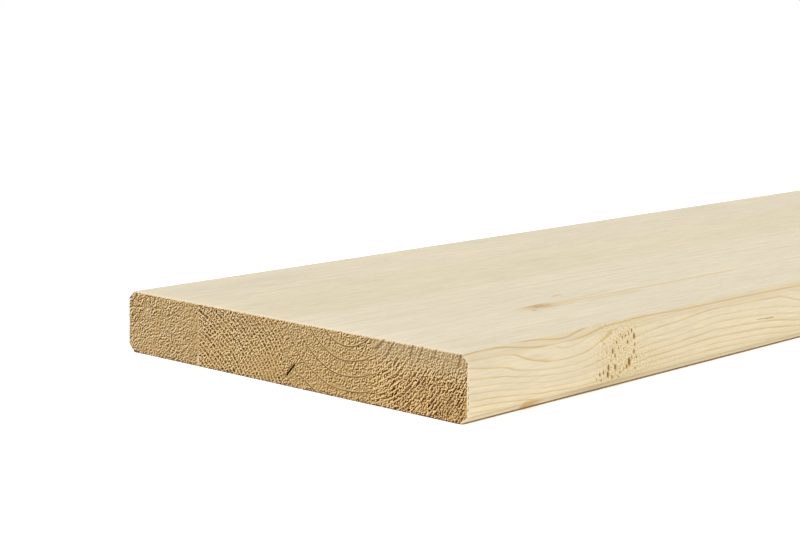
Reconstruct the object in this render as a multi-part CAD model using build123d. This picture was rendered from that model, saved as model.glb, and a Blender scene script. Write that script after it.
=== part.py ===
from build123d import *
import os

# Edge-glued softwood shelf panel: full-length staves, glued side by side with a thin
# film of glue in every joint, planed flush and bevelled along its four long arrises.
#
# Millimetres. The origin is the middle of the underside. +X runs along the grain,
# +Y from the front edge to the back edge, and +Z is up, through the thickness.

# The finished panel
panel_length = 800.0
panel_width = 200.0
panel_thickness = 28.0

# Staves, from the front edge backwards. The back stave is ripped to the finished width.
front_stave_width = 50.4
inner_front_stave_width = 50.4
inner_back_stave_width = 52.6
glue_film = 0.2

# Bevels on the long arrises, each measured square to its face and to its edge
front_bevel = 3.5
back_bevel = 3.5

# Where the panel and its joints lie
end_x = panel_length / 2
front_y = -panel_width / 2
back_y = panel_width / 2
joint_1_y = front_y + front_stave_width
joint_2_y = joint_1_y + glue_film + inner_front_stave_width
joint_3_y = joint_2_y + glue_film + inner_back_stave_width

stave_spans = {
    "stave_front": (front_y, joint_1_y),
    "stave_inner_front": (joint_1_y + glue_film, joint_2_y),
    "stave_inner_back": (joint_2_y + glue_film, joint_3_y),
    "stave_back": (joint_3_y + glue_film, back_y),
}
glue_spans = {
    "glue_line_front": (joint_1_y, joint_1_y + glue_film),
    "glue_line_middle": (joint_2_y, joint_2_y + glue_film),
    "glue_line_back": (joint_3_y, joint_3_y + glue_film),
}


def panel_section():
    """The finished cross-section of the whole panel, in the plane square to the grain."""
    outline = [
        (front_y + front_bevel, 0),
        (back_y - back_bevel, 0),
        (back_y, back_bevel),
        (back_y, panel_thickness - back_bevel),
        (back_y - back_bevel, panel_thickness),
        (front_y + front_bevel, panel_thickness),
        (front_y, panel_thickness - front_bevel),
        (front_y, front_bevel),
    ]
    return Plane.YZ * make_face(Polyline(outline, close=True))


def whole_panel():
    """The panel as it comes off the planer, before it is told apart into its pieces."""
    return extrude(panel_section(), amount=end_x, both=True)


def slice_between(panel, span):
    """The piece of the panel that lies between two planes parallel to the joints."""
    low_y, high_y = span
    slab = Box(
        panel_length,
        high_y - low_y,
        panel_thickness,
        align=(Align.CENTER, Align.MIN, Align.MIN),
    )
    return panel & slab.moved(Location((0, low_y, 0)))


def main():
    os.makedirs("parts", exist_ok=True)
    panel = whole_panel()
    for name, span in {**stave_spans, **glue_spans}.items():
        export_step(slice_between(panel, span), f"parts/{name}.step")


main()
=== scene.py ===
import math
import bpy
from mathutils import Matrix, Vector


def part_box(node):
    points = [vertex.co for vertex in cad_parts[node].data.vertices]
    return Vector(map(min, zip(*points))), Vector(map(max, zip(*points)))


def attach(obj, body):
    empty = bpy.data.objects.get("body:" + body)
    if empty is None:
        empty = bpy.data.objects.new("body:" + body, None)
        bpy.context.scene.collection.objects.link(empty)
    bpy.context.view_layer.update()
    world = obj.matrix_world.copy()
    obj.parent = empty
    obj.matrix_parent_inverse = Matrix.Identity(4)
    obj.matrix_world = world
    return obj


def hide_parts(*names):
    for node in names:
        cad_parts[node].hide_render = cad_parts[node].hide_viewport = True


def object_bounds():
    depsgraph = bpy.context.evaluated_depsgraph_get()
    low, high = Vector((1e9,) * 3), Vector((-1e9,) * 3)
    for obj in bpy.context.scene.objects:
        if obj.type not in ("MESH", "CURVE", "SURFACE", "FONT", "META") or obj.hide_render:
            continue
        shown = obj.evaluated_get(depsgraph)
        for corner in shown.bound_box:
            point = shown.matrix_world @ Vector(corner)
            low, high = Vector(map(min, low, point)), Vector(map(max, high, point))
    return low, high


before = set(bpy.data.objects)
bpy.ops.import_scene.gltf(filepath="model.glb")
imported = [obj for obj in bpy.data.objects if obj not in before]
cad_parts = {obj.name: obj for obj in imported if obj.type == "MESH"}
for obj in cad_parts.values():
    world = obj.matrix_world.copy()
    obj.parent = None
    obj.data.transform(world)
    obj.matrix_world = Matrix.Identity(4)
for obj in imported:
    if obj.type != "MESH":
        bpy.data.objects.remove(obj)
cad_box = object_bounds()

from types import SimpleNamespace

import bpy
import numpy as np
from mathutils import Matrix, Vector

# Edge-glued softwood panel. Each CAD solid is replaced by a mesh with sawn ends, torn
# grain and softened arrises, cut from a solid whose growth rings are worked out in 3-D.
#
# Lengths below are millimetres on the panel itself: s runs along the grain from the end
# that the camera sees, u across from the front edge, v up from the underside.

LENGTH, WIDTH, THICK = [side * 1000 for side in cad_box[1] - cad_box[0]]
MM = 0.001
BEVEL = 3.5
BACK_JOINT = 153.8  # where the inner back stave meets the last glue line
CELL = 0.30  # the grid of a sawn end
PIT_DEPTH = 0.55  # of the torn pits in the front edge
CRACK_DEPTH = 0.5  # of the crack in the inner front stave's end
NEAR_SEED, FAR_SEED = 11, 47  # the saw left other marks on each end

# The map for baking, in shares of its height: how high the two ends lie at its foot, where
# the four long sides begin above them, and the gap between two sides
ENDS_HIGH, SIDES_FROM, SIDE_GAP = 0.262, 0.275, 0.006

# Colours of the wood and the glue, as the linear values that a material takes
TINT = SimpleNamespace(
    # planed faces and edges
    pale_edge=(0.800, 0.685, 0.478), late_on_top=(0.700, 0.565, 0.335),
    late_on_edge=(0.620, 0.440, 0.150), upper_bevel=(0.660, 0.530, 0.340),
    # the lower bevel's colour is painted light against the shade it faces down into, and the pale
    # arris one is a painted highlight
    lower_bevel_painted_light=(1.0, 0.865, 0.610), painted_arris_highlight=(0.950, 0.840, 0.660), fleck=(0.60, 0.42, 0.25),
    pit_rim=(0.56, 0.36, 0.12), pit_heart=(0.185, 0.086, 0.012), swirl=(0.67, 0.51, 0.23),
    # the glint is a painted highlight
    speck=(0.40, 0.26, 0.08), painted_glint=(0.96, 0.84, 0.58), amber=(0.56, 0.38, 0.11),
    # the foot's colour is painted light
    arris_line=(0.52, 0.39, 0.18), foot_painted_light=(1.0, 0.88, 0.66), resin=(0.72, 0.45, 0.16),
    # the darkest colour on the next line is a painted contact shadow
    stain=(0.52, 0.38, 0.18), painted_contact_shadow=(0.085, 0.055, 0.022), fan_line=(0.70, 0.53, 0.24),
    knot_halo=(0.68, 0.50, 0.27), knot_heart=(0.50, 0.295, 0.115), knot_dot=(0.34, 0.25, 0.14),
    bevel_ring=(0.52, 0.36, 0.12), dark_streak=(0.47, 0.31, 0.09),
    # glue
    dark_glue=(0.60, 0.48, 0.29), pale_glue=(0.72, 0.60, 0.40),
    # sawn ends
    torn=(0.80, 0.62, 0.38), warm=(1.0, 0.94, 0.69), reddish=(1.0, 0.90, 0.88),
    late_line=(0.17, 0.090, 0.030), clean_line=(0.80, 0.62, 0.37), cloud=(0.54, 0.345, 0.15),
    # the pale rim is a painted highlight
    seam=(0.70, 0.55, 0.34), glue_spot=(0.86, 0.80, 0.68), painted_rim_highlight=(0.93, 0.79, 0.56),
    # on the next line the crack and groove colours are painted shade and the crest one a painted
    # highlight
    crack=(0.022, 0.009, 0.002), painted_groove_shade=(0.180, 0.086, 0.022), painted_crest_light=(0.82, 0.635, 0.375),
    upper_part=(0.56, 0.46, 0.31), steep_line=(0.19, 0.100, 0.033), foxy=(0.62, 0.36, 0.12),
    # the lip is a painted highlight
    lip=(0.95, 0.82, 0.56),
)

# Growth rings. A ring's number grows with the distance r from the pith as a*r + b*r*r,
# and the pith climbs across and up along the stave.
RINGS = {
    "stave_front": dict(pith=(61.0, 43.0), a=0.176, b=0.00423, climb=(0.004, 0.002), phase=-0.08),
    "stave_inner_front": dict(pith=(64.5, 41.0), a=0.157, b=0.0, climb=(-0.012, -0.010), phase=0.03),
    "stave_inner_back": dict(pith=(182.0, -42.0), a=0.52, b=0.0, climb=(0.010, 0.004), phase=0.0),
    "stave_back": dict(pith=(228.0, 42.0), a=0.30, b=0.0006, climb=(-0.006, 0.012), phase=0.4),
}
RINGS["glue_line_front"] = RINGS["stave_inner_front"]
RINGS["glue_line_middle"] = RINGS["stave_inner_back"]
RINGS["glue_line_back"] = RINGS["stave_back"]

# How far the front stave's rings sink (-) or rise (+) on the front edge round its grown-over
# knot and beyond: s, then the shift at each of four heights
DRIFT_HEIGHTS = (5.0, 12.0, 18.0, 25.0)
DRIFT = [
    (0, 0.8, 1.0, -0.1, 2.0), (8, 0.5, 0.5, -0.8, 1.2), (16, 0.3, 0.1, -1.4, 0.5),
    (24, -0.3, -0.6, -2.5, 0.1), (32, -1.0, -1.9, -4.5, -1.4), (40, -1.8, -2.8, -6.6, -2.6),
    (48, -2.8, -4.1, -7.6, -2.7), (56, -3.2, -5.2, -8.3, -6.8), (64, -3.9, -5.8, -8.7, -9.5),
    (72, -4.3, -5.8, -8.3, -8.6), (80, -4.4, -5.4, -7.3, -5.6), (86, -4.5, -4.3, -6.1, -3.4),
    (92, -4.1, -3.2, -4.6, -1.3), (98, -2.3, -2.1, -3.2, 1.0), (104, -0.5, 0.1, -1.0, 1.7),
    (110, 1.0, 1.4, 0.2, 3.0), (116, 1.9, 2.1, 1.8, 2.6), (124, 2.5, 2.5, 2.8, 2.7),
    (134, 2.2, 2.7, 2.1, 4.1), (146, 2.0, 2.7, 2.4, 3.9), (160, 1.9, 2.8, 2.8, 4.1),
    (175, 1.7, 2.7, 3.5, 4.3), (190, 0.9, 2.0, 2.9, 3.2), (205, 0.0, 1.2, 1.8, 2.5),
    (220, -0.9, 0.4, 0.6, 1.9), (235, -2.1, -0.8, -0.8, 1.5), (255, -3.2, -3.1, -3.5, -3.1),
    (290, -3.6, -3.8, -3.9, -3.6), (340, -2.6, -2.8, -3.0, -2.8), (400, 0.5, 0.6, 0.5, 0.6),
    (470, 2.0, 2.5, 3.0, 3.0), (560, 1.2, 1.0, 1.0, 1.2), (640, -1.2, -1.6, -1.8, -1.5),
    (720, -0.6, -0.5, -0.4, -0.2), (800, 0.6, 0.6, 0.2, 1.0),
]


class Wire:
    """A number that a material works out at each point, written as ordinary arithmetic."""

    def __init__(self, tree, socket):
        self.tree, self.socket = tree, socket

    def math(self, operation, *others):
        node = self.tree.nodes.new("ShaderNodeMath")
        node.operation = operation
        for slot, value in zip(node.inputs, (self, *others)):
            if isinstance(value, Wire):
                self.tree.links.new(value.socket, slot)
            else:
                slot.default_value = value
        return Wire(self.tree, node.outputs[0])

    def __add__(self, other):
        return self.math("ADD", other)

    def __mul__(self, other):
        return self.math("MULTIPLY", other)

    def __sub__(self, other):
        return self.math("SUBTRACT", other)

    def __rsub__(self, other):
        return self.math("MULTIPLY", -1.0) + other

    def __neg__(self):
        return self.math("MULTIPLY", -1.0)

    __radd__ = __add__
    __rmul__ = __mul__


def root(x):
    return x.math("SQRT") if isinstance(x, Wire) else np.sqrt(x)


def sine(x):
    return x.math("SINE") if isinstance(x, Wire) else np.sin(x)


def fall(x):
    """exp(-x)"""
    return (-x).math("EXPONENT") if isinstance(x, Wire) else np.exp(-x)


def size_of(wire):
    return wire.math("ABSOLUTE")


def clamped(x):
    """x, but no less than 0 and no more than 1"""
    if isinstance(x, Wire):
        return x.math("MAXIMUM", 0.0).math("MINIMUM", 1.0)
    return np.clip(x, 0, 1)


def follow(s, points):
    """The height at s of a curve through points (s, height). A material's is rounded."""
    if not isinstance(s, Wire):
        return np.interp(s, *zip(*points))
    node = s.tree.nodes.new("ShaderNodeFloatCurve")
    curve = node.mapping.curves[0]
    low, high = -20.0, 80.0  # the heights that the node's 0 and 1 stand for
    spots = [(at / LENGTH, (value - low) / (high - low)) for at, value in points]
    curve.points[0].location = spots[0]
    curve.points[1].location = spots[-1]
    for spot in spots[1:-1]:
        curve.points.new(*spot)
    for point in curve.points:
        point.handle_type = "AUTO"
    node.mapping.update()
    s.tree.links.new((s * (1 / LENGTH)).socket, node.inputs["Value"])
    return Wire(s.tree, node.outputs[0]) * (high - low) + low


def drift(s, v):
    """How far the front stave's rings are shifted at s and v on the front edge."""
    rows = [follow(s, [(point[0], point[k]) for point in DRIFT]) for k in range(1, 5)]
    shift = rows[0]
    for k in range(3):
        low, high = DRIFT_HEIGHTS[k:k + 2]
        shift = shift + (rows[k + 1] - rows[k]) * clamped((v - low) * (1 / (high - low)))
    return shift


def ring_place(s, u, v, name):
    """A point's place across and up from the pith of its stave, in mm."""
    ring = RINGS[name]
    climb_u, climb_v = ring["climb"]
    if name == "stave_front":
        v = v - drift(s, v) * fall(u * u * (1 / 400.0))
    across = u - ring["pith"][0] - s * climb_u + sine(s * 0.021) * 0.5
    up = v - ring["pith"][1] - s * climb_v + sine(s * 0.013 + 1.0) * 0.7
    return across, up


def ring_number(s, u, v, name):
    """The growth ring's number at a point of a stave. It grows outwards from the pith."""
    ring = RINGS[name]
    across, up = ring_place(s, u, v, name)
    r = root(across * across + up * up)
    r = r + sine(u * 0.31 + v * 0.12 + s * 0.006) * 0.16 + sine(v * 0.47 - u * 0.09) * 0.10
    return r * ring["a"] + r * r * ring["b"] + ring["phase"]


def ring_pace(s, u, v, name, way):
    """How many rings a planed face cuts per mm along u (way "u") or along v (way "v")."""
    ring = RINGS[name]
    across, up = ring_place(s, u, v, name)
    r = root(across * across + up * up)
    side = size_of(across if way == "u" else up)
    share = side.math("MAXIMUM", 2.0) * r.math("POWER", -1.0)
    return share * (r * (2 * ring["b"]) + ring["a"])


# Noise for the shape of the sawn ends

def value_noise(x, y, seed):
    """Smooth noise from -1 to 1, with bumps one unit across."""
    table = np.random.default_rng(seed).uniform(-1, 1, (256, 256))
    i, j = np.floor(x).astype(int), np.floor(y).astype(int)
    fx, fy = x - i, y - j
    fx, fy = fx * fx * (3 - 2 * fx), fy * fy * (3 - 2 * fy)

    def at(a, b):
        return table[a % 256, b % 256]

    low = at(i, j) * (1 - fx) + at(i + 1, j) * fx
    high = at(i, j + 1) * (1 - fx) + at(i + 1, j + 1) * fx
    return low * (1 - fy) + high * fy


def turned(u, v, degrees, along, across):
    """Coordinates stretched along a direction, which leans like / as the camera sees it."""
    a = math.radians(degrees)
    x = u * -math.cos(a) + v * math.sin(a)
    y = u * math.sin(a) + v * math.cos(a)
    return x * (1 / along), y * (1 / across)


def step_between(low, high, x):
    """0 where x is low, 1 where it is high and smooth between. low may be the larger."""
    t = np.clip((x - low) / (high - low), 0, 1)
    return t * t * (3 - 2 * t)


# How each stave's end looks: short strokes, long marks of the saw, ridges along the rings,
# how dark the rings themselves are, how strong its finest specks are, and how strong the
# painted highlight on a ring's crest and the painted shade in the groove beside it are
SAWN = {
    "stave_front": dict(
        stroke=0.22, saw=0.08, ridge=0.20, line=0.55, speck=0.92, painted_crest_light=0.90, painted_groove_shade=1.0),
    "stave_inner_front": dict(
        stroke=0.12, saw=0.08, ridge=0.0, line=1.0, speck=0.50, painted_crest_light=0.0, painted_groove_shade=0.0),
    "stave_inner_back": dict(
        stroke=0.32, saw=0.06, ridge=0.50, line=0.30, speck=0.80, painted_crest_light=0.90, painted_groove_shade=0.80),
    "stave_back": dict(
        stroke=0.28, saw=0.20, ridge=0.06, line=0.12, speck=0.58, painted_crest_light=0.10, painted_groove_shade=0.25),
}
PLAIN_END = SAWN["stave_inner_front"]  # for the glue lines


def calm_share(u, v, name):
    """Where the saw left a stave's end smoother than usual, from 0 to 1."""
    smooth = 0.0 * u
    if name == "stave_front":
        smooth = 0.42 * step_between(17, 25, v + 0.1 * u) * step_between(46, 34, u)
        lip = step_between(0.9, 0.3, u) * step_between(2, 5, v) * step_between(25, 22, v)
        smooth = np.maximum(smooth, lip)
        smooth = np.maximum(smooth, 0.5 * step_between(44, 47, u) * step_between(16, 22, v))
    if name in ("stave_inner_back", "stave_back"):
        smooth = 0.75 * step_between(0.8, 0.2, np.abs(u - BACK_JOINT - 0.1))
        behind = u > BACK_JOINT - 0.1
        smooth = np.maximum(smooth, 0.30 * step_between(166, 158, u) * behind)
    if name == "stave_inner_back":
        patch = value_noise(u / 6.5, v / 5.0, 21)
        smooth = np.maximum(smooth, 0.42 * step_between(126, 106, u - 0.5 * v))
        smooth = np.clip(smooth + 0.30 * patch, -0.15, 1)
    return smooth


def torn_share(u, v, name):
    """How badly the saw tore a stave's end beyond its usual roughness, from 0 to 1."""
    patch = 0.5 + 0.5 * value_noise(u / 9, v / 7, 5)
    if name == "stave_front":
        low = step_between(25, 7, v - (22 - u) * 0.10)
        return low * step_between(52, 32, u) * (0.80 + 0.35 * patch)
    if name == "stave_inner_back":
        return 0.30 * patch
    if name == "stave_back":
        return 0.45 * patch * step_between(172, 190, u) * step_between(8, 16, v)
    return 0.0 * patch


def strokes(u, v, seed, degrees=47, along=0.95, across=0.50):
    """Short dark and light strokes side by side, leaning like /, from about -1 to 1."""
    x, y = turned(u, v, degrees, along, across)
    beside = value_noise(x + 0.35, y + 1.15, seed) + value_noise(x - 0.35, y - 1.15, seed)
    return 1.35 * (value_noise(x, y, seed) - 0.5 * beside)


def ring_ridges(u, v, name, seed):
    """Where a ring's hard wood stands up (+) on an end, and beads along its soft wood."""
    number = ring_number(0.0, u, v, name)
    part = number - np.floor(number)
    pith_u, pith_v = RINGS[name]["pith"]
    r = np.hypot(u - pith_u, v - pith_v)
    round_way = np.arctan2(v - pith_v, u - pith_u) * r
    ridge = np.exp(-((part - 0.62) / 0.14) ** 2) * 2.3 - 0.70
    ridge = ridge * (0.8 + 0.6 * value_noise(round_way / 5.0, number, 31))
    beads = value_noise(round_way / 0.65, np.floor(number + 0.1) * 7.3, seed + 3)
    return ridge, beads * np.clip(0.35 - ridge, 0, 1)


def end_surface(u, v, name, seed):
    """A sawn end's depth below its plane in mm, tone from -1 to 1, roughness and torn share."""
    look = SAWN.get(name, PLAIN_END)
    ridge, beads = ring_ridges(u, v, name, seed)
    torn = torn_share(u, v, name)
    saw = value_noise(*turned(u, v, 42, 3.6, 0.44), seed + 2)
    rough = (0.95 + 0.20 * value_noise(u / 5, v / 4, 8)) * (1 - calm_share(u, v, name))
    tone = (look["stroke"] * strokes(u, v, seed) * (1 - 0.25 * torn) + look["saw"] * saw) * rough
    tone = tone + (look["ridge"] * rough + 0.90 * torn) * ridge + 1.4 * torn * beads
    tone = tone - 0.35 * np.clip(-tone - 0.35, 0, 1)
    # painted highlight: the top of an end gets a light tone, which also sets its depth there
    top = step_between(27.1, 27.7, v)
    tone = tone * (1 - top) + top * (0.35 + 0.7 * value_noise(u / 0.7, 9.1 + 0 * v, seed + 6))
    rough = rough * look["speck"] * (1 - 0.6 * top)
    lip = np.clip(0.5 + 1.3 * value_noise(u / 1.3, 3.3 + 0 * v, seed + 5), 0, 1)
    tone = tone - lip * step_between(1.1, 0.5, v) * (1.3 if name == "stave_front" else 0.5)
    depth = 0.16 - 0.07 * np.clip(tone, -1, 1.2) + 0.10 * np.clip(-tone - 0.45, 0, 1.2)
    depth = depth + torn * (0.14 - 0.10 * np.clip(ridge, -1, 1))
    return depth, tone, rough, torn


def crack_at(u, v):
    """How deep a place lies in the short crack in the inner front stave, from 0 to 1."""
    a, b = np.array([94.3, 9.8]), np.array([98.9, 4.7])
    length = np.linalg.norm(b - a)
    way = (b - a) / length
    along = (u - a[0]) * way[0] + (v - a[1]) * way[1]
    beside = (u - a[0]) * way[1] - (v - a[1]) * way[0]
    half = 0.28 * np.clip(np.minimum(along, length - along) / 0.8 + 0.4, 0, 1)
    return step_between(1.5, 0.7, np.abs(beside) / np.maximum(half, 1e-3)) * (half > 0)


# Small pits where a knot's grain tore out of the front edge: s, v and radius
TORN_PITS = [
    (86.0, 5.4, 0.35), (88.4, 7.0, 0.60), (91.0, 7.6, 0.65), (94.5, 9.2, 0.95), (94.3, 6.2, 1.00),
    (97.3, 4.7, 0.60), (99.5, 8.7, 0.90), (97.2, 16.0, 0.80), (99.0, 13.8, 0.60),
    (103.9, 21.0, 0.50), (106.3, 21.5, 0.45), (108.0, 18.5, 0.62), (108.4, 22.2, 0.50),
    (110.6, 23.2, 0.62), (112.7, 20.5, 0.95), (113.5, 16.6, 0.50), (113.1, 13.6, 0.72),
    (109.8, 9.6, 1.30), (108.0, 7.8, 0.70), (106.0, 7.0, 0.45), (115.0, 11.0, 0.45),
    (101.2, 17.0, 0.45), (99.8, 19.4, 0.50), (103.0, 6.0, 0.40), (92.8, 16.0, 0.40),
    (90.4, 20.0, 0.38), (101.8, 4.2, 0.42), (114.3, 6.2, 0.42), (111.6, 11.4, 0.50),
    (102.4, 22.6, 0.40), (105.2, 16.0, 0.38), (96.0, 12.0, 0.42), (89.5, 4.4, 0.42),
]


def inset(v):
    """How far a bevelled edge lies inside the panel's width at a height, in mm."""
    soft = 0.35  # how far an arris is rounded
    left_over = 0.5 * (soft * soft / 14)  # what the rounding adds between the bevels

    def past(d):
        return 0.5 * (d + np.sqrt(d * d + soft * soft))

    return past(BEVEL - v) + past(v - (THICK - BEVEL)) - left_over


def grid_across(low, high):
    """The u and v of a sawn end's grid, rows up the thickness."""
    columns = max(1, round((high - low) / CELL))
    rows = round(THICK / CELL)
    u, v = np.meshgrid(np.linspace(low, high, columns + 1), np.linspace(0, THICK, rows + 1))
    fade = 12.0  # how far from an edge the columns give way to its shape
    if low < 1:
        u = u + inset(v) * np.clip(1 - u / fade, 0, 1)
    if high > WIDTH - 1:
        u = u - inset(v) * np.clip(1 - (WIDTH - u) / fade, 0, 1)
    return u, v


def rows_along(fine_spans):
    """Where the mesh has its rows along the grain: close at both ends and in fine spans."""
    first = [1.1, 1.9, 3.0, 5.0, 9.0]  # from an end, and deeper than its relief
    places = set(first) | {LENGTH - x for x in first} | set(np.arange(40, LENGTH - 10, 80.0))
    for low, high, pitch in fine_spans:
        places = {x for x in places if not low - pitch < x < high + pitch}
        places |= set(np.arange(low, high + pitch / 2, pitch))
    return np.array(sorted(places))


def rim(rows, columns):
    """The grid places round an end, from the lower front corner and first across."""
    across = [(0, c) for c in range(columns)]
    back = [(r, columns) for r in range(rows)]
    over = [(rows, c) for c in range(columns, 0, -1)]
    down = [(r, 0) for r in range(rows, 0, -1)]
    return across + back + over + down


def end_looks(name, u, v):
    """The depths of both ends, and for each its tone, roughness and torn share."""
    depths, looks = [], []
    for seed in (NEAR_SEED, FAR_SEED):
        depth, *look = end_surface(u, v, name, seed)
        depths.append(depth)
        looks.append([part.ravel() for part in look])
    if name == "stave_inner_front":
        depths[0] = depths[0] + CRACK_DEPTH * crack_at(u, v)
    return depths, looks


def pit_share(s, u, v):
    """How deep a place on the front edge lies in a torn pit, from 0 to 1."""
    pit = np.zeros(len(u))
    for pit_s, pit_v, radius in TORN_PITS:
        away = np.hypot((s - pit_s) * 1.25 + (v - pit_v) * 0.15, (v - pit_v) * 0.60)
        pit = np.maximum(pit, step_between(1.25, 0.35, away / radius))
    return pit * (u < 1)


def grid_faces(rows, columns):
    """The quads of an end's grid, which face away from the stave at the near end."""
    index = np.arange((rows + 1) * (columns + 1)).reshape(rows + 1, columns + 1)
    corners = (index[:-1, :-1], index[1:, :-1], index[1:, 1:], index[:-1, 1:])
    return np.stack([corner.ravel() for corner in corners], 1)


def side_faces(at_rim, grid, count):
    """The quads round the stave, row by row from the near end's rim to the far end's."""
    around = len(at_rim)
    loops = [2 * grid + k * around + np.arange(around) for k in range(count)]
    loops = [at_rim, *loops, at_rim + grid]
    return [
        np.stack([here, np.roll(here, -1), np.roll(there, -1), there], 1)
        for here, there in zip(loops, loops[1:])
    ]


def stave_mesh(name, low, high, fine_spans=()):
    """A closed mesh of a stave or glue line between two widths, with its map for baking."""
    u, v = grid_across(low, high)
    rows, columns = u.shape[0] - 1, u.shape[1] - 1
    places = rows_along(fine_spans)
    depths, looks = end_looks(name, u, v)
    near_s, far_s = depths[0].ravel(), LENGTH - depths[1].ravel()
    u, v = u.ravel(), v.ravel()
    at_rim = np.array([r * (columns + 1) + c for r, c in rim(rows, columns)])
    rim_u, rim_v = u[at_rim], v[at_rim]
    pits = [pit_share(s, rim_u, rim_v) for s in places]
    sides = [
        np.stack([np.full(len(rim_u), s), rim_u + PIT_DEPTH * pit, rim_v], 1)
        for s, pit in zip(places, pits)
    ]
    points = np.concatenate([np.stack([near_s, u, v], 1), np.stack([far_s, u, v], 1), *sides])
    below = -np.concatenate(pits)
    looks = [np.concatenate([near, far, below]) for near, far in zip(*looks)]
    ends = grid_faces(rows, columns)
    back = ends[:, ::-1]
    faces = np.concatenate([ends, back + len(u), *side_faces(at_rim, len(u), len(places))])
    kinds = (np.arange(len(faces)) < 2 * len(ends)) * 1
    stations = np.concatenate([[0.0], places, [LENGTH]])
    spots = [end_map(ends, rows, columns, 0), end_map(back, rows, columns, 1)]
    spots += strip_map(name, rows, columns, stations)
    return build_mesh(name, points, faces, kinds, looks, np.concatenate(spots))


def end_map(faces, rows, columns, side):
    """The baked image's places for a sawn end: two boxes side by side at its foot."""
    row, column = faces // (columns + 1), faces % (columns + 1)
    x = 0.005 + 0.495 * side + 0.485 * column / columns
    y = 0.005 + ENDS_HIGH * row / rows
    return np.stack([x, y], -1)


def strip_map(name, rows, columns, stations):
    """The baked image's places for the four long sides, stacked above the ends."""
    edge = {"stave_front": "left", "stave_back": "right"}.get(name)
    shares = {"bottom": 0.26, "right": 0.03, "top": 0.37, "left": 0.03}
    if edge:
        shares = {"bottom": 0.20, "right": 0.03, "top": 0.26, "left": 0.03}
        shares[edge] = 0.20
    counts = {"bottom": columns, "right": rows, "top": columns, "left": rows}
    base, low, high = SIDES_FROM, [], []
    for side in ("bottom", "right", "top", "left"):
        steps = np.linspace(0, 1, counts[side] + 1) * shares[side] + base
        low.append(steps[:-1])
        high.append(steps[1:])
        base += shares[side] + SIDE_GAP
    low, high = np.concatenate(low), np.concatenate(high)
    gaps = np.diff(stations)
    weight = gaps * np.where(gaps < 1, 2.5, 1.0)  # more of the map where the rows are close
    x = 0.003 + 0.994 * np.concatenate([[0], np.cumsum(weight)]) / weight.sum()
    made = []
    for k in range(len(gaps)):
        corners = ((x[k], low), (x[k], high), (x[k + 1], high), (x[k + 1], low))
        corners = [np.stack([np.full(len(y), place), y], 1) for place, y in corners]
        made.append(np.stack(corners, 1))
    return made


def build_mesh(name, points, faces, kinds, looks, spots):
    """Makes the Blender mesh, in metres in the panel's frame. A face's kind is its material."""
    place = points * MM + np.array([-LENGTH / 2, -WIDTH / 2, 0]) * MM
    mesh = bpy.data.meshes.new(name + "_wood")
    mesh.vertices.add(len(place))
    mesh.vertices.foreach_set("co", place.astype(np.float32).ravel())
    mesh.loops.add(faces.size)
    mesh.loops.foreach_set("vertex_index", faces.astype(np.int32).ravel())
    mesh.polygons.add(len(faces))
    mesh.polygons.foreach_set("loop_start", np.arange(0, faces.size, 4, dtype=np.int32))
    mesh.polygons.foreach_set("material_index", kinds.astype(np.int32))
    mesh.polygons.foreach_set("use_smooth", np.ones(len(faces), bool))
    mesh.update(calc_edges=True)
    for key, values in zip(("tone", "rough", "torn"), looks):
        layer = mesh.attributes.new(key, "FLOAT", "POINT")
        layer.data.foreach_set("value", values.astype(np.float32))
    layer = mesh.uv_layers.new(name="OFBake")
    layer.uv.foreach_set("vector", spots.astype(np.float32).ravel())
    mesh.validate()
    mesh.set_sharp_from_angle(angle=math.radians(55))
    return mesh


# Materials

def new_material(name):
    material = bpy.data.materials.new(name)
    material.use_nodes = True
    shader = material.node_tree.nodes["Principled BSDF"]
    shader.inputs["Specular IOR Level"].default_value = 0.25
    return material, material.node_tree, shader


def panel_wires(tree):
    """s, u and v in millimetres, from the place on the object."""
    place = tree.nodes.new("ShaderNodeTexCoord")
    apart = tree.nodes.new("ShaderNodeSeparateXYZ")
    tree.links.new(place.outputs["Object"], apart.inputs[0])
    x, y, z = (Wire(tree, apart.outputs[k]) for k in range(3))
    return x * 1000 + LENGTH / 2, y * 1000 + WIDTH / 2, z * 1000


def ramp(wire, stops, kind="LINEAR"):
    """A colour, or a number if its stops are numbers, for each value from 0 to 1."""
    node = wire.tree.nodes.new("ShaderNodeValToRGB")
    node.color_ramp.interpolation = kind
    elements = node.color_ramp.elements
    for k, (at, colour) in enumerate(stops):
        element = elements[k] if k < 2 else elements.new(at)
        element.position = at
        if isinstance(colour, (int, float)):
            colour = (colour,) * 3
        element.color = (*colour, 1)
    wire.tree.links.new(wire.socket, node.inputs[0])
    return Wire(wire.tree, node.outputs[0])


def noise(tree, s, u, v, scale, detail=2.0, rough=0.5):
    """Noise from 0 to 1 with bumps of about scale mm along s, u and v."""
    join = tree.nodes.new("ShaderNodeCombineXYZ")
    for k, (wire, size) in enumerate(zip((s, u, v), scale)):
        tree.links.new((wire * (1 / size)).socket, join.inputs[k])
    node = tree.nodes.new("ShaderNodeTexNoise")
    node.inputs["Scale"].default_value = 1.0
    node.inputs["Detail"].default_value = detail
    node.inputs["Roughness"].default_value = rough
    tree.links.new(join.outputs[0], node.inputs["Vector"])
    return Wire(tree, node.outputs["Fac"])


def mix(tree, share, one, two, kind="MIX"):
    """one and two mixed by share. Each is a Wire that carries a colour, or a colour."""
    node = tree.nodes.new("ShaderNodeMix")
    node.data_type, node.blend_type = "RGBA", kind
    slots = {"share": node.inputs[0], "one": node.inputs[6], "two": node.inputs[7]}
    for key, value in (("share", share), ("one", one), ("two", two)):
        if isinstance(value, Wire):
            tree.links.new(value.socket, slots[key])
        elif key == "share":
            slots[key].default_value = value
        else:
            slots[key].default_value = (*value, 1)
    return Wire(tree, node.outputs[2])


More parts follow.
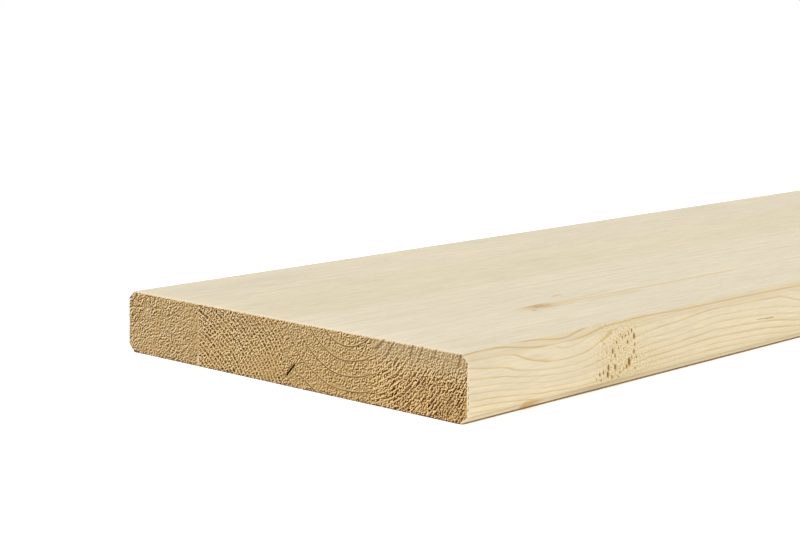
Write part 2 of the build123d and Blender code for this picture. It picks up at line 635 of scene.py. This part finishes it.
def white_noise(wire):
    """A different number from 0 to 1 for each whole number."""
    node = wire.tree.nodes.new("ShaderNodeTexWhiteNoise")
    node.noise_dimensions = "1D"
    wire.tree.links.new(wire.socket, node.inputs["W"])
    return Wire(wire.tree, node.outputs["Value"])


def blob(s, v, at, size):
    """1 at a place on an edge or face, and falling to 0 round it."""
    x, y = (s - at[0]) * (1 / size[0]), (v - at[1]) * (1 / size[1])
    return fall(x * x + y * y)


def latewood(beyond):
    """How much latewood shows at a distance in mm before the ring's sharp outer side."""
    return ramp(beyond * 0.25, [
        (0.0, 0.0), (0.02, 0.85), (0.09, 1.0), (0.14, 0.45), (0.25, 0.15), (0.6, 0.0),
    ])


# How strong each ring's line is on the front edge, from ring 25 on
RING_STRENGTH = [
    (k / 12, share)
    for k, share in enumerate((0.5, 0.6, 0.9, 0.75, 0.85, 0.4, 0.5, 0.85, 1.0, 0.6, 0.7, 0.5))
]


# Each stave's top face is a little different
PALE_TOP = {
    "stave_front": (0.822, 0.738, 0.562), "stave_inner_front": (0.800, 0.710, 0.530),
    "stave_inner_back": (0.785, 0.690, 0.500), "stave_back": (0.790, 0.705, 0.530),
}


def face_pace(s, u, v, name, on_edge, high):
    """How many rings the planed face, edge or upper bevel at a place cuts per mm."""
    pace_u, pace_v = (ring_pace(s, u, v, name, way) for way in "uv")
    pace = pace_u + (pace_v - pace_u) * on_edge
    return pace + ((pace_u + pace_v) * 0.7 - pace) * high


def face_latewood(tree, s, u, v, name):
    """The dark lines where the rings come out of a planed face, from 0 to 1."""
    on_edge, high = edge_share(u), bevel_share(u, THICK - v)
    wander = noise(tree, s, u, v, (45, 9, 9), 3.0)
    number = ring_number(s, u, v, name) + (wander - 0.5) * 0.25
    pace = face_pace(s, u, v, name, on_edge, high)
    beyond = (0.93 - number.math("FRACT")) * pace.math("POWER", -1.0)
    whole = (number + 0.07).math("FLOOR")
    each = white_noise(whole)
    if name == "stave_front":
        chosen = ramp((whole - 24.5) * (1 / 12), RING_STRENGTH, "CONSTANT")
        each = each + (chosen - each) * on_edge
    fading = ramp(noise(tree, s, u, v, (28, 7, 7), 2.0), [(0.30, 0.55), (0.60, 1.0)])
    return latewood(beyond) * (0.25 + each * 0.75) * fading * (1 - high * 0.5)


def planed_shade(tree, s, u, v, fibre, on_edge):
    """How light the planed wood is: fibres, grain, clouds and streaks, paler near the end, and
    painted light low on its edges.
    """
    grain = noise(tree, s, u, v, (20, 2.3, 1.6), 2.0, 0.6)
    cloud = noise(tree, s, u, v, (120, 22, 22), 2.0)
    streak = noise(tree, s, u, v, (5, 1.4, 0.8), 1.0)
    shade = 0.90 + (fibre - 0.5) * 0.20 + (grain - 0.5) * (0.26 - on_edge * 0.01) + cloud * 0.12
    shade = shade + (streak - 0.5) * 0.12 + clamped(1 - s * 0.05) * 0.05 * (1 - on_edge)
    # painted light: the lower part of the edges near the end is lightened against its shade
    return shade + clamped((10 - v) * 0.3) * clamped((95 - s) * 0.1) * on_edge * 0.07


def planed_wood(name):
    """The planed faces and edges: pale earlywood, thin ochre latewood, fine fibres."""
    material, tree, shader = new_material(name + "_planed")
    s, u, v = panel_wires(tree)
    on_edge = edge_share(u)
    late = face_latewood(tree, s, u, v, name)
    fibre = noise(tree, s, u, v, (26, 0.55, 0.55), 3.0, 0.6)
    pale = mix(tree, on_edge, PALE_TOP[name], TINT.pale_edge)
    dark = mix(tree, on_edge, TINT.late_on_top, TINT.late_on_edge)
    colour = mix(tree, late * (1 - on_edge * 0.1), pale, dark)
    shade = planed_shade(tree, s, u, v, fibre, on_edge)
    colour = mix(tree, 1.0, colour, grey(shade), "MULTIPLY")
    colour = mix(tree, bevel_share(u, THICK - v) * 0.35, colour, TINT.upper_bevel)
    # painted light: the lower bevel is lightened against the shade it faces down into
    colour = mix(tree, bevel_share(u, v) * 0.88, colour, TINT.lower_bevel_painted_light)
    # painted highlight: a pale line along the arrises where the planed faces meet the sawn end
    arris_highlight = clamped((1.7 - s) * 1.2) * (1 - on_edge * 0.6)
    colour = mix(tree, arris_highlight * 0.60, colour, TINT.painted_arris_highlight)
    if name == "stave_front":
        colour = front_marks(tree, colour, s, u, v)
        colour = pit_colour(tree, colour, attribute(tree, "tone"))
    if name == "stave_inner_front":
        fleck = line_mark(s, u, (131.0, 58.2), (137.5, 58.8), 1.2) * (1 - on_edge)
        colour = mix(tree, fleck * 0.6, colour, TINT.fleck)
    tree.links.new(colour.socket, shader.inputs["Base Color"])
    tree.links.new((0.62 - late * 0.10 + fibre * 0.1).socket, shader.inputs["Roughness"])
    bump(tree, shader, fibre * 0.5 + late * 0.25, 0.00006, 0.5)
    return material


def pit_colour(tree, colour, tone):
    """Golden rims and dark hearts where the mesh's tone falls below 0."""
    pit = (-tone).math("MINIMUM", 1.0)
    colour = mix(tree, ramp(pit, [(0.02, 0.0), (0.25, 0.8)]), colour, TINT.pit_rim)
    return mix(tree, ramp(pit, [(0.30, 0.0), (0.75, 0.90)]), colour, TINT.pit_heart)


def edge_share(u):
    """1 on the front and back edges with their bevels, and 0 on the faces between."""
    front = (u - BEVEL + 0.05).math("MULTIPLY", -8.0)
    back = (u - (WIDTH - BEVEL) - 0.05).math("MULTIPLY", 8.0)
    return clamped(front.math("MAXIMUM", back))


def bevel_share(u, v):
    """1 on the two bevels at the height v = 0, and 0 elsewhere."""
    return edge_share(u) * clamped((v - BEVEL).math("MULTIPLY", -5.0))


def grey(wire):
    """A number as a colour without hue."""
    join = wire.tree.nodes.new("ShaderNodeCombineColor")
    for k in range(3):
        wire.tree.links.new(wire.socket, join.inputs[k])
    return Wire(wire.tree, join.outputs[0])


def attribute(tree, name):
    """What the mesh holds at each of its points under a name."""
    node = tree.nodes.new("ShaderNodeAttribute")
    node.attribute_name = name
    return Wire(tree, node.outputs["Fac"])


def bump(tree, shader, height, distance, strength):
    """Lets the light fall as if the surface rose by distance, in metres, where height is 1."""
    node = tree.nodes.new("ShaderNodeBump")
    node.inputs["Distance"].default_value = distance
    node.inputs["Strength"].default_value = strength
    tree.links.new(height.socket, node.inputs["Height"])
    tree.links.new(node.outputs[0], shader.inputs["Normal"])


def line_mark(s, v, start, end, width):
    """1 on a short straight mark from start to end, and 0 from width away."""
    length = math.dist(start, end)
    way = [(b - a) / length for a, b in zip(start, end)]
    x, y = s - start[0], v - start[1]
    along = (x * way[0] + y * way[1]).math("MAXIMUM", 0.0).math("MINIMUM", length)
    dx, dy = x - along * way[0], y - along * way[1]
    away = root(dx * dx + dy * dy)
    return clamped((away - width) * (-2.5 / width))


# Two rings' lines on the upper front bevel: s and u
BEVEL_LINES = [
    [(0, 2.9), (18, 3.3), (25, 2.8), (35, 1.6), (51, 0.2), (65, 0.2), (78, 0.8), (93, 2.3),
     (106, 2.6), (121, 2.9), (150, 2.4), (200, 2.1), (255, 1.8), (330, 2.6), (420, 1.5),
     (520, 2.4), (640, 1.9), (800, 2.5)],
    [(0, 4.5), (25, 3.9), (37, 3.4), (49, 2.7), (64, 1.6), (73, 2.5), (81, 3.4), (95, 4.5),
     (800, 4.5)],
]

# Two short dark streaks on the front edge: start, end and half width
DARK_STREAKS = [((213, 14.8), (222, 14.3), 0.22), ((221, 14.3), (228, 14.1), 0.36)]

# Fine lines that fan out on the top face from its small knot: start, end, half width, share
FAN_LINES = [
    ((109, 45.4), (260, 43.4), 1.7, 0.55), ((109, 42.6), (175, 40.4), 1.3, 0.40),
    ((112, 47.4), (165, 50.2), 1.5, 0.45), ((90, 46.6), (100, 47.2), 1.2, 0.35),
]


def curve_mark(s, across, points, width):
    """1 on a curve through points (s, across), and 0 from width away."""
    return clamped(1 - size_of(across - follow(s, points)) * (1 / width))


def swirl_marks(tree, colour, s, u, v, edge):
    """Torn grain round the knot that has grown over under the front edge, with dark specks and
    painted glints.
    """
    swirl = clamped(blob(s, v, (102, 14), (16, 15)) + blob(s, v, (126, 7), (22, 7)) * 0.4) * edge
    colour = mix(tree, swirl * 0.42, colour, TINT.swirl)
    speck = noise(tree, s, u, v, (1.15, 0.8, 0.62), 1.0, 0.6)
    specks = ramp(speck, [(0.54, 0.0), (0.66, 1.0)]) * swirl
    colour = mix(tree, specks * 0.65, colour, TINT.speck)
    # painted highlight: light glints among the dark specks
    painted_glints = ramp(speck, [(0.36, 1.0), (0.47, 0.0)]) * swirl
    colour = mix(tree, painted_glints * 0.65, colour, TINT.painted_glint)
    amber = line_mark(s, v, (88.5, 21.6), (95.5, 24.3), 0.8) * edge
    return mix(tree, amber * 0.6, colour, TINT.amber)


# How strong the painted contact shadow at the foot of the lower front bevel is, along 400 mm
CONTACT_SHADOW_ALONG = [
    (0.0, 0.0), (0.15, 0.05), (0.18, 0.7), (0.21, 0.4), (0.25, 0.7), (0.29, 0.2), (0.36, 0.4),
    (0.40, 1.0), (0.50, 1.0), (0.56, 0.5), (0.62, 0.4), (0.80, 0.6), (1.0, 0.3),
]


def low_bevel_marks(tree, colour, s, u, v, edge):
    """The lower bevel's arris line, its resin patch, painted light on its foot and a painted contact
    shadow along that foot.
    """
    arris = ramp(v * 0.2, [(0.24, 0.0), (0.42, 1.0), (0.58, 1.0), (0.66, 0.0)]) * edge
    colour = mix(tree, arris * 0.42, colour, TINT.arris_line)
    bevel = bevel_share(u, v)
    # painted light: the foot of the lower bevel is lightened against its shade near the floor
    foot_painted_light = clamped(1.5 - v) * bevel
    colour = mix(tree, foot_painted_light * 0.75, colour, TINT.foot_painted_light)
    patch = clamped((s - 36.5) * 2.0) * clamped((52 - s) * 0.13) * bevel
    colour = mix(tree, patch * 0.70, colour, TINT.resin)
    stain = ramp(s * 0.01, [(0.56, 0.0), (0.68, 0.45), (0.86, 0.85), (1.0, 0.30), (1.0, 0.25)])
    wavy = noise(tree, s, u, v, (9, 0.8, 0.8), 2.0, 0.6)
    stain = clamped(stain * (wavy * 1.8 - 0.25)) * bevel
    colour = mix(tree, stain * 0.60, colour, TINT.stain)
    # painted contact shadow: a dark line at the very foot of the front edge, where it meets the
    # floor
    painted_contact_shadow = ramp(s * (1 / 400), CONTACT_SHADOW_ALONG) * clamped((0.30 - v) * 4.5) * edge
    return mix(tree, painted_contact_shadow, colour, TINT.painted_contact_shadow)


def knot_on_top(tree, colour, s, u, v, face):
    """The small brown knot on the top face, with the fine lines that run from it."""
    for start, end, width, share in FAN_LINES:
        line = line_mark(s, u, start, end, width) * face
        colour = mix(tree, line * share, colour, TINT.fan_line)
    halo = blob(s, u, (104, 47.0), (14, 4.8)) * face
    colour = mix(tree, halo * 0.50, colour, TINT.knot_halo)
    spots = noise(tree, s, u, v, (1.5, 2.2, 1.0), 2.0, 0.6)
    heart = blob(s, u, (106.5, 47.4), (7.0, 3.8)) * face
    colour = mix(tree, clamped(heart * (spots * 2.8 - 0.35)) * 0.78, colour, TINT.knot_heart)
    dot = blob(s, u, (96.6, 42.2), (1.1, 1.3)) * face
    return mix(tree, dot * 0.8, colour, TINT.knot_dot)


def fading_line(s):
    """How strong the bevel's ring lines are along the panel."""
    return ramp(s * (1 / LENGTH), [(0.13, 0.80), (0.20, 0.62), (1.0, 0.62)])


def front_marks(tree, colour, s, u, v):
    """What sets the front stave apart: its swirl, bevel lines, stains and knot."""
    edge = edge_share(u)
    colour = swirl_marks(tree, colour, s, u, v, edge)
    for points in BEVEL_LINES:
        line = curve_mark(s, u, points, 0.42) * bevel_share(u, THICK - v)
        colour = mix(tree, line * fading_line(s), colour, TINT.bevel_ring)
    colour = low_bevel_marks(tree, colour, s, u, v, edge)
    for start, end, width in DARK_STREAKS:
        streak = line_mark(s, v, start, end, width) * edge
        colour = mix(tree, streak * 0.85, colour, TINT.dark_streak)
    return knot_on_top(tree, colour, s, u, v, (1 - edge) * clamped(v - 20.0))


# Where rings of the inner front stave were cut so cleanly that they show on its end, as
# the share that shows at some u, in tenths of a metre
CLEAN_CUT = [(0.49, 0.5), (0.54, 1.0), (0.80, 1.0), (0.90, 0.8), (1.0, 0.6)]

# Where a ring's dark line lies in the ring as it shows on an end: in narrow rings, and in
# the wide ones of the inner front stave, with the light line beside it
NARROW_LATE = [(0.74, 0.0), (0.80, 0.8), (0.88, 1.0), (0.935, 0.8), (0.965, 0.0)]
WIDE_LATE = [(0.835, 0.0), (0.865, 1.0), (0.92, 1.0), (0.945, 0.0)]
LIGHT_LINE = [(0.78, 0.0), (0.80, 1.0), (0.83, 1.0), (0.85, 0.0)]

# The colours of torn fibres, from the deepest shade to the lightest crest
FIBRES = [
    (0.0, (0.035, 0.013, 0.001)), (0.20, (0.125, 0.060, 0.008)), (0.38, (0.330, 0.210, 0.074)),
    (0.52, (0.485, 0.335, 0.155)), (0.66, (0.60, 0.435, 0.225)), (0.82, (0.735, 0.555, 0.315)),
    (1.0, (0.92, 0.745, 0.465)),
]

# How warm the lower part of a stave's end is
WARMTH = {
    "stave_front": 1.0, "stave_inner_front": 0.35, "stave_inner_back": 0.60, "stave_back": 0.0,
    "glue_line_front": 0.5, "glue_line_middle": 0.5, "glue_line_back": 0.5,
}

# Dark lines that run down from the top of the front stave's end: start, end, half width
STEEP_LINES = [
    ((28.5, 28.0), (30.2, 23.4), 0.42), ((23.7, 27.8), (24.9, 24.0), 0.36),
    ((16.5, 27.6), (17.6, 23.8), 0.34), ((38.6, 27.6), (41.8, 23.6), 0.36),
    ((44.0, 27.8), (48.5, 23.4), 0.38), ((3.9, 27.6), (5.0, 22.6), 0.48),
]


def ring_edges(tree, colour, u, v, number, look):
    """A painted highlight on the crest where a ring's hard wood stands up, and painted shade in the
    groove beside it.
    """
    part = number.math("FRACT")
    each = white_noise((number + 9.3).math("FLOOR"))
    broken = ramp(noise(tree, u * 0.0, u, v, (1, 4, 4), 2.0, 0.6), [(0.36, 0.25), (0.58, 1.0)])
    low = ramp(v * (1 / THICK), [(0.72, 1.0), (0.92, 0.35)])
    painted_crest_light = ramp(part, [(0.46, 0.0), (0.53, 1.0), (0.66, 1.0), (0.71, 0.0)])
    painted_groove_shade = ramp(part, [(0.70, 0.0), (0.76, 1.0), (0.86, 1.0), (0.94, 0.0)])
    dark = painted_groove_shade * broken * (each * 0.7 + 0.3) * look["painted_groove_shade"]
    colour = mix(tree, dark, colour, TINT.painted_groove_shade)
    return mix(tree, painted_crest_light * broken * low * look["painted_crest_light"], colour, TINT.painted_crest_light)


def front_end_marks(tree, colour, u, v, fine):
    """The paler upper part of the front stave's end, its steep dark lines, and a painted highlight
    along its corner.
    """
    pale = ramp(v * (1 / THICK), [(0.60, 0.0), (0.90, 0.24)])
    colour = mix(tree, pale, colour, TINT.upper_part)
    for start, end, width in STEEP_LINES:
        line = line_mark(u, v, start, end, width)
        colour = mix(tree, line * 0.85, colour, TINT.steep_line)
    foxy = clamped(2.6 - u * 1.3) * clamped((13.0 - v) * 0.25) * clamped((v - 2.0) * 0.8)
    colour = mix(tree, foxy * 0.45, colour, TINT.foxy)
    # painted highlight: a pale line on the end along its corner with the front edge
    lip = clamped(1.5 - u * 2.6) * clamped((v - 3.0) * 0.5) * clamped((24.0 - v) * 0.4)
    return mix(tree, clamped(lip * (fine + 0.85)), colour, TINT.lip)


def torn_fibres(tree, s, u, v, warmth):
    """The colour of an end's torn fibres, and the finest of them as painted light (+) and shade (-).
    """
    tone, rough, torn = (attribute(tree, key) for key in ("tone", "rough", "torn"))
    x, y = turned(u, v, 48, 0.85, 0.56)
    lit, shaded = (noise(tree, s, x, y + side, (0.6, 1, 1), 0.0, 0.5) for side in (0.5, -0.5))
    # painted light and shade: each fine stroke is lit on one side and shaded on the other
    fine = lit - shaded
    value = clamped(tone * 0.44 + 0.485 + fine * (rough * (torn * 0.7 + 1.0) * 2.9))
    colour = ramp(value, FIBRES)
    colour = mix(tree, clamped(torn * (1 - value) * 1.5), colour, TINT.torn, "MULTIPLY")
    warm = ramp(v * (1 / THICK), [(0.35, 1.0), (0.90, 0.2)]) * warmth
    colour = mix(tree, warm, colour, TINT.warm, "MULTIPLY")
    return mix(tree, clamped(torn * 0.9), colour, TINT.reddish, "MULTIPLY"), fine


def late_lines(tree, colour, u, v, number, wander, name):
    """The dark line of each ring on an end, and in the inner front stave a light one too."""
    part = (number + wander * 0.08).math("FRACT")
    strength = SAWN.get(name, PLAIN_END)["line"]
    if name == "stave_inner_front":
        shown = ramp(u * 0.01, CLEAN_CUT)
        colour = mix(tree, ramp(part, WIDE_LATE) * strength * shown, colour, TINT.late_line)
        return mix(tree, ramp(part, LIGHT_LINE) * shown * 0.55, colour, TINT.clean_line)
    each = white_noise((number + 0.1).math("FLOOR")) * 0.75 + 0.25
    above = ramp(v * (1 / THICK), [(0.55, 0.25), (0.85, 1.0)])
    return mix(tree, ramp(part, NARROW_LATE) * strength * each * above, colour, TINT.late_line)


def end_stains(tree, colour, s, u, v, fine):
    """Clouds, the last glue line's pale seam, and a painted highlight along the upper and far rims
    of the ends.
    """
    cloud = noise(tree, s, u, v, (7, 7, 7), 2.0)
    colour = mix(tree, ramp(cloud, [(0.35, 0.0), (0.7, 1.0)]) * 0.25, colour, TINT.cloud)
    seam = clamped(1 - size_of(u - BACK_JOINT) * 1.5)
    colour = mix(tree, seam * 0.40, colour, TINT.seam)
    spot = clamped((5.0 - v) * 0.8) * clamped((v - 0.6) * 2.0)
    colour = mix(tree, seam * spot * 0.75, colour, TINT.glue_spot)
    # painted highlight along an end's upper and far arrises
    over = clamped((v - 27.25) * 2.2).math("MAXIMUM", clamped((u - WIDTH + 0.9) * 1.2))
    return mix(tree, over * clamped(fine + 0.9) * 0.85, colour, TINT.painted_rim_highlight)


def sawn_end(name):
    """A rough sawn end: tan, with rings, saw marks and torn fibres."""
    material, tree, shader = new_material(name + "_sawn")
    s, u, v = panel_wires(tree)
    number = ring_number(s, u, v, name)
    wander = noise(tree, s, u, v, (3, 3, 3), 2.0) - 0.5
    colour, fine = torn_fibres(tree, s, u, v, WARMTH[name])
    colour = late_lines(tree, colour, u, v, number, wander, name)
    look = SAWN.get(name, PLAIN_END)
    # painted highlight and shade along the edges of the rings
    if look["painted_crest_light"]:
        colour = ring_edges(tree, colour, u, v, number + wander * 0.05, look)
    colour = end_stains(tree, colour, s, u, v, fine)
    if name == "stave_inner_front":
        near = clamped(5.0 - s)
        # painted shade: the crack is painted near-black for the shadow deep inside it
        crack = line_mark(u, v, (94.4, 9.7), (98.8, 4.8), 0.56) * near
        colour = mix(tree, crack, colour, TINT.crack)
    if name == "stave_front":
        colour = front_end_marks(tree, colour, u, v, fine)
    tree.links.new(colour.socket, shader.inputs["Base Color"])
    shader.inputs["Roughness"].default_value = 0.9
    shader.inputs["Specular IOR Level"].default_value = 0.05
    bump(tree, shader, fine, 0.00010, 0.5)
    return material


def glue_material():
    """Cured white glue, which has taken up some of the wood's colour."""
    material, tree, shader = new_material("glue_film")
    s, u, v = panel_wires(tree)
    patch = noise(tree, s, u, v, (9, 1.5, 2.0), 3.0)
    colour = ramp(patch, [(0.3, TINT.dark_glue), (0.7, TINT.pale_glue)])
    tree.links.new(colour.socket, shader.inputs["Base Color"])
    shader.inputs["Roughness"].default_value = 0.5
    return material


def add_piece(node, materials, fine_spans=()):
    """Adds the mesh that takes the place of a CAD solid."""
    low, high = (corner.y * 1000 + WIDTH / 2 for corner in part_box(node))
    mesh = stave_mesh(node, low, high, fine_spans)
    for material in materials:
        mesh.materials.append(material)
    piece = bpy.data.objects.new(node + "_visual", mesh)
    bpy.context.scene.collection.objects.link(piece)
    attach(piece, "root")
    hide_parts(node)


def build_panel():
    fine = {"stave_front": [(84.0, 117.2, 0.4)]}
    for node in ("stave_front", "stave_inner_front", "stave_inner_back", "stave_back"):
        add_piece(node, [planed_wood(node), sawn_end(node)], fine.get(node, ()))
    glue = glue_material()
    for node in ("glue_line_front", "glue_line_middle", "glue_line_back"):
        add_piece(node, [glue, sawn_end(node)])


# Floor, light and camera

def seen_directly(tree):
    """1 where the camera or a mirrored ray sees a thing, and 0 where it only lights others."""
    ray = tree.nodes.new("ShaderNodeLightPath")
    camera, mirrored = (Wire(tree, ray.outputs[key]) for key in ("Is Camera Ray", "Is Glossy Ray"))
    return camera.math("MAXIMUM", mirrored)


def floor_paper():
    """White paper, with a painted contact shadow: a thin dark line where the panel touches it."""
    material = bpy.data.materials.new("floor_paper")
    material.use_nodes = True
    tree = material.node_tree
    tree.nodes.remove(tree.nodes["Principled BSDF"])
    near = tree.nodes.new("ShaderNodeAmbientOcclusion")
    near.inputs["Distance"].default_value = 0.0022
    near.samples = 8
    open_share = Wire(tree, near.outputs["AO"])
    # painted shade: the paper turns dark where the occlusion node finds the panel close by
    white = ramp(open_share, [(0.33, (0.29, 0.205, 0.095)), (0.56, (1.5, 1.5, 1.62))])
    colour = mix(tree, seen_directly(tree), (0.95, 0.95, 0.95), white)
    paper = tree.nodes.new("ShaderNodeBsdfDiffuse")
    tree.links.new(colour.socket, paper.inputs["Color"])
    tree.links.new(paper.outputs[0], tree.nodes["Material Output"].inputs["Surface"])
    return material


def build_floor():
    """A pale floor a hair below the panel's underside. It goes on past the picture's edges."""
    mesh = bpy.data.meshes.new("floor")
    half = 2.2  # metres
    corners = [(-half, -half, 0), (half, -half, 0), (half, half, 0), (-half, half, 0)]
    mesh.from_pydata(corners, [], [(0, 1, 2, 3)])
    mesh.materials.append(floor_paper())
    floor = bpy.data.objects.new("floor", mesh)
    floor.location.z = -0.0002
    bpy.context.scene.collection.objects.link(floor)


SKY = 0.55  # how bright the studio's walls are, beside the two lights


def build_world():
    """White walls all round, which light the panel less than they look."""
    world = bpy.data.worlds.new("studio")
    bpy.context.scene.world = world
    world.use_nodes = True
    tree = world.node_tree
    background = tree.nodes["Background"]
    strength = seen_directly(tree) * (1.0 - SKY) + SKY
    background.inputs["Color"].default_value = (1, 1, 1, 1)
    tree.links.new(strength.socket, background.inputs["Strength"])


def add_far_light(name, towards, spread, strength):
    """A soft light from a far place, so that all parts are lit alike. spread is its width."""
    light = bpy.data.lights.new(name, "SUN")
    light.angle = math.radians(spread)
    light.energy = strength
    thing = bpy.data.objects.new(name, light)
    thing.rotation_mode = "QUATERNION"
    thing.rotation_quaternion = Vector(towards).to_track_quat("Z", "Y")
    bpy.context.scene.collection.objects.link(thing)


def build_camera():
    """The photo's camera, fitted to the straight edges of the panels in it."""
    camera = bpy.data.cameras.new("camera")
    camera.sensor_width = 36.0
    camera.lens = 88.6
    camera.clip_start, camera.clip_end = 0.05, 40.0
    thing = bpy.data.objects.new("camera", camera)
    bpy.context.scene.collection.objects.link(thing)
    heading, pitch, roll = math.radians(-48.66), math.radians(9.166), math.radians(1.098)
    turn = (
        Matrix.Rotation(heading, 4, "Z")
        @ Matrix.Rotation(math.pi / 2 - pitch, 4, "X")
        @ Matrix.Rotation(roll, 4, "Z")
    )
    thing.matrix_world = Matrix.Translation((-0.9802, -0.5743, 0.1827)) @ turn
    bpy.context.scene.camera = thing


def build_studio():
    build_floor()
    build_world()
    add_far_light("light_end", (-1.95, 0.75, 2.2), 20, 1.10)
    add_far_light("light_edge", (-1.05, -2.4, 1.4), 32, 1.20)
    build_camera()
    bpy.context.scene.view_settings.view_transform = "Standard"


build_panel()
build_studio()
